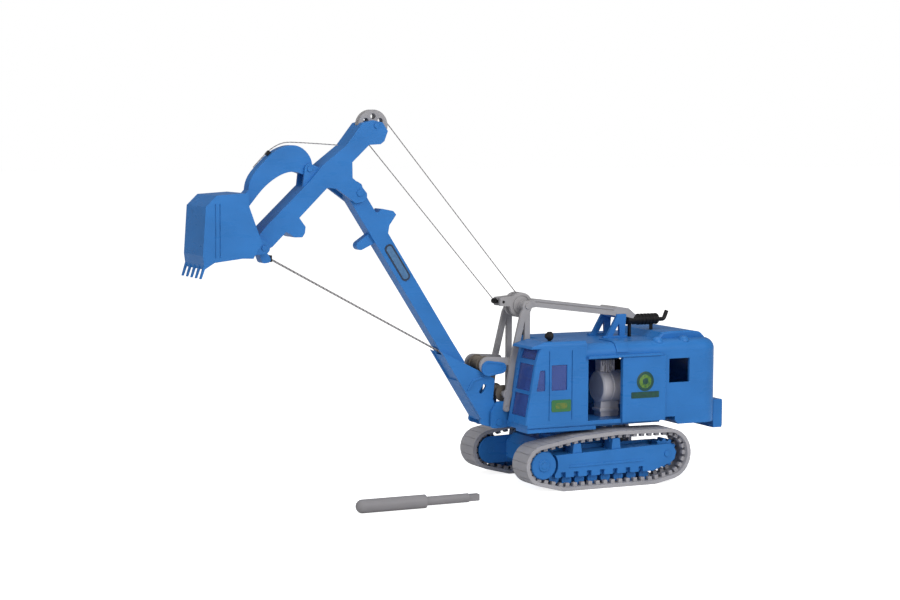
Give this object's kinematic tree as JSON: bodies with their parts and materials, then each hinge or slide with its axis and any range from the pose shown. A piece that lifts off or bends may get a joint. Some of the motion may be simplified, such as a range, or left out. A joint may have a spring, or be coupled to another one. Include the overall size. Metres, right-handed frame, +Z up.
{
  "type": "toy rope excavator",
  "caption": "Toy crawler face shovel: cab and house that slew, doorway with engine, roped boom, stick and toothed bucket, and a loose winding key.",
  "frame": {"origin": "on the ground under the axis that the machinery house turns on, midway between the tracks", "axes": "+X towards the boom and bucket, +Y towards the driver's side with the cab and sliding door, +Z up"},
  "size_m": [0.1692, 0.0525, 0.1125],
  "materials": {
    "blue_plastic": "satin moulded blue",
    "track_grey": "soft moulded grey",
    "mast_grey": "moulded grey",
    "engine_grey": "moulded light grey",
    "black_plastic": "moulded black",
    "cord": "braided thread",
    "glass": "clear moulding",
    "seat_red": "moulded brown red"
  },
  "bodies": {
    "undercarriage": {"centre_frame": "blue_plastic", "slew_ring": "track_grey", "side_frame_left": "blue_plastic", "side_frame_right": "blue_plastic", "track_belt_left": "track_grey", "track_belt_right": "track_grey", "road_rollers": "blue_plastic", "return_rollers": "blue_plastic", "wheel_axles": "blue_plastic"},
    "house": {"platform_deck": "blue_plastic", "counterweight": "blue_plastic", "house_walls": "blue_plastic", "house_roof": "blue_plastic", "roof_strap": "blue_plastic", "rear_hood": "blue_plastic", "roof_vents": "blue_plastic", "door_rail": "blue_plastic", "engine_base": "engine_grey", "engine_drum": "engine_grey", "engine_head": "engine_grey", "air_filter": "black_plastic", "cab_shell": "blue_plastic", "cab_glazing": "glass", "cab_roof": "blue_plastic", "driver_seat": "seat_red", "control_levers": "black_plastic", "roof_fittings": "black_plastic", "mast_frame_left": "mast_grey", "mast_frame_right": "mast_grey", "mast_head": "mast_grey", "mast_pins": "mast_grey", "drum_arms": "mast_grey", "drum_cover": "blue_plastic", "rope_eye": "black_plastic", "gantry": "blue_plastic", "gantry_stays": "mast_grey", "stay_yoke": "mast_grey", "muffler": "black_plastic", "boom_pin": "blue_plastic", "hoist_rope": "cord", "drag_rope": "cord"},
    "side_door": {"sliding_door": "blue_plastic"},
    "boom": {"boom": "blue_plastic", "boom_foot": "blue_plastic"},
    "stick": {"stick": "blue_plastic", "brace": "blue_plastic", "bucket": "blue_plastic", "stick_pins": "blue_plastic", "rope_clips": "black_plastic", "brace_rope": "cord"},
    "stick_sheave": {"stick_sheave": "mast_grey"},
    "mast_sheave": {"mast_sheave": "mast_grey"},
    "hoist_drum": {"hoist_drum": "cord"},
    "drag_drum": {"drag_drum": "cord"},
    "idler_left": {"idler_left": "blue_plastic"},
    "idler_right": {"idler_right": "blue_plastic"},
    "sprocket_left": {"sprocket_left": "blue_plastic"},
    "sprocket_right": {"sprocket_right": "blue_plastic"},
    "key": {"winding_key": "mast_grey"}
  },
  "joints": [
    {"name": "slew", "type": "hinge", "parent": "undercarriage", "child": "house", "pos_m": [0, 0, 0], "axis": [0, 0, 1], "continuous": true},
    {"name": "boom_luff", "type": "hinge", "parent": "house", "child": "boom", "pos_m": [0.0291, 0, 0.0193], "axis": [0, 1, 0], "range_deg": [-5, 25], "deforming": ["hoist_rope", "drag_rope"]},
    {"name": "stick_swing", "type": "hinge", "parent": "boom", "child": "stick", "pos_m": [0.0741, 0, 0.0885], "axis": [0, 1, 0], "range_deg": [-25, 45], "deforming": ["hoist_rope", "drag_rope"]},
    {"name": "stick_sheave_spin", "type": "hinge", "parent": "stick", "child": "stick_sheave", "pos_m": [0.0689, 0, 0.1079], "axis": [0, 1, 0], "continuous": true},
    {"name": "mast_sheave_spin", "type": "hinge", "parent": "house", "child": "mast_sheave", "pos_m": [0.0202, 0, 0.0541], "axis": [0, 1, 0], "continuous": true},
    {"name": "hoist_drum_spin", "type": "hinge", "parent": "house", "child": "hoist_drum", "pos_m": [0.0265, 0, 0.0277], "axis": [0, 1, 0], "continuous": true},
    {"name": "drag_drum_spin", "type": "hinge", "parent": "house", "child": "drag_drum", "pos_m": [0.0329, 0, 0.0366], "axis": [0, 1, 0], "continuous": true},
    {"name": "door_slide", "type": "slide", "parent": "house", "child": "side_door", "axis": [1, 0, 0], "range_m": [0, 0.0122]},
    {"name": "sprocket_left_spin", "type": "hinge", "parent": "undercarriage", "child": "sprocket_left", "pos_m": [-0.0206, 0.0174, 0.0089], "axis": [0, 1, 0], "continuous": true},
    {"name": "sprocket_right_spin", "type": "hinge", "parent": "undercarriage", "child": "sprocket_right", "pos_m": [-0.0206, -0.0174, 0.0089], "axis": [0, 1, 0], "continuous": true},
    {"name": "idler_left_spin", "type": "hinge", "parent": "undercarriage", "child": "idler_left", "pos_m": [0.0223, 0.0174, 0.008], "axis": [0, 1, 0], "continuous": true},
    {"name": "idler_right_spin", "type": "hinge", "parent": "undercarriage", "child": "idler_right", "pos_m": [0.0223, -0.0174, 0.008], "axis": [0, 1, 0], "continuous": true},
    {"name": "key_lift", "type": "slide", "parent": "undercarriage", "child": "key", "axis": [0, 0, 1], "range_m": [0, 0.03]}
  ],
  "couplings": [
    {"joint": "idler_left_spin", "follows": "sprocket_left_spin", "ratio": 1.3168},
    {"joint": "idler_right_spin", "follows": "sprocket_right_spin", "ratio": 1.3168}
  ]
}
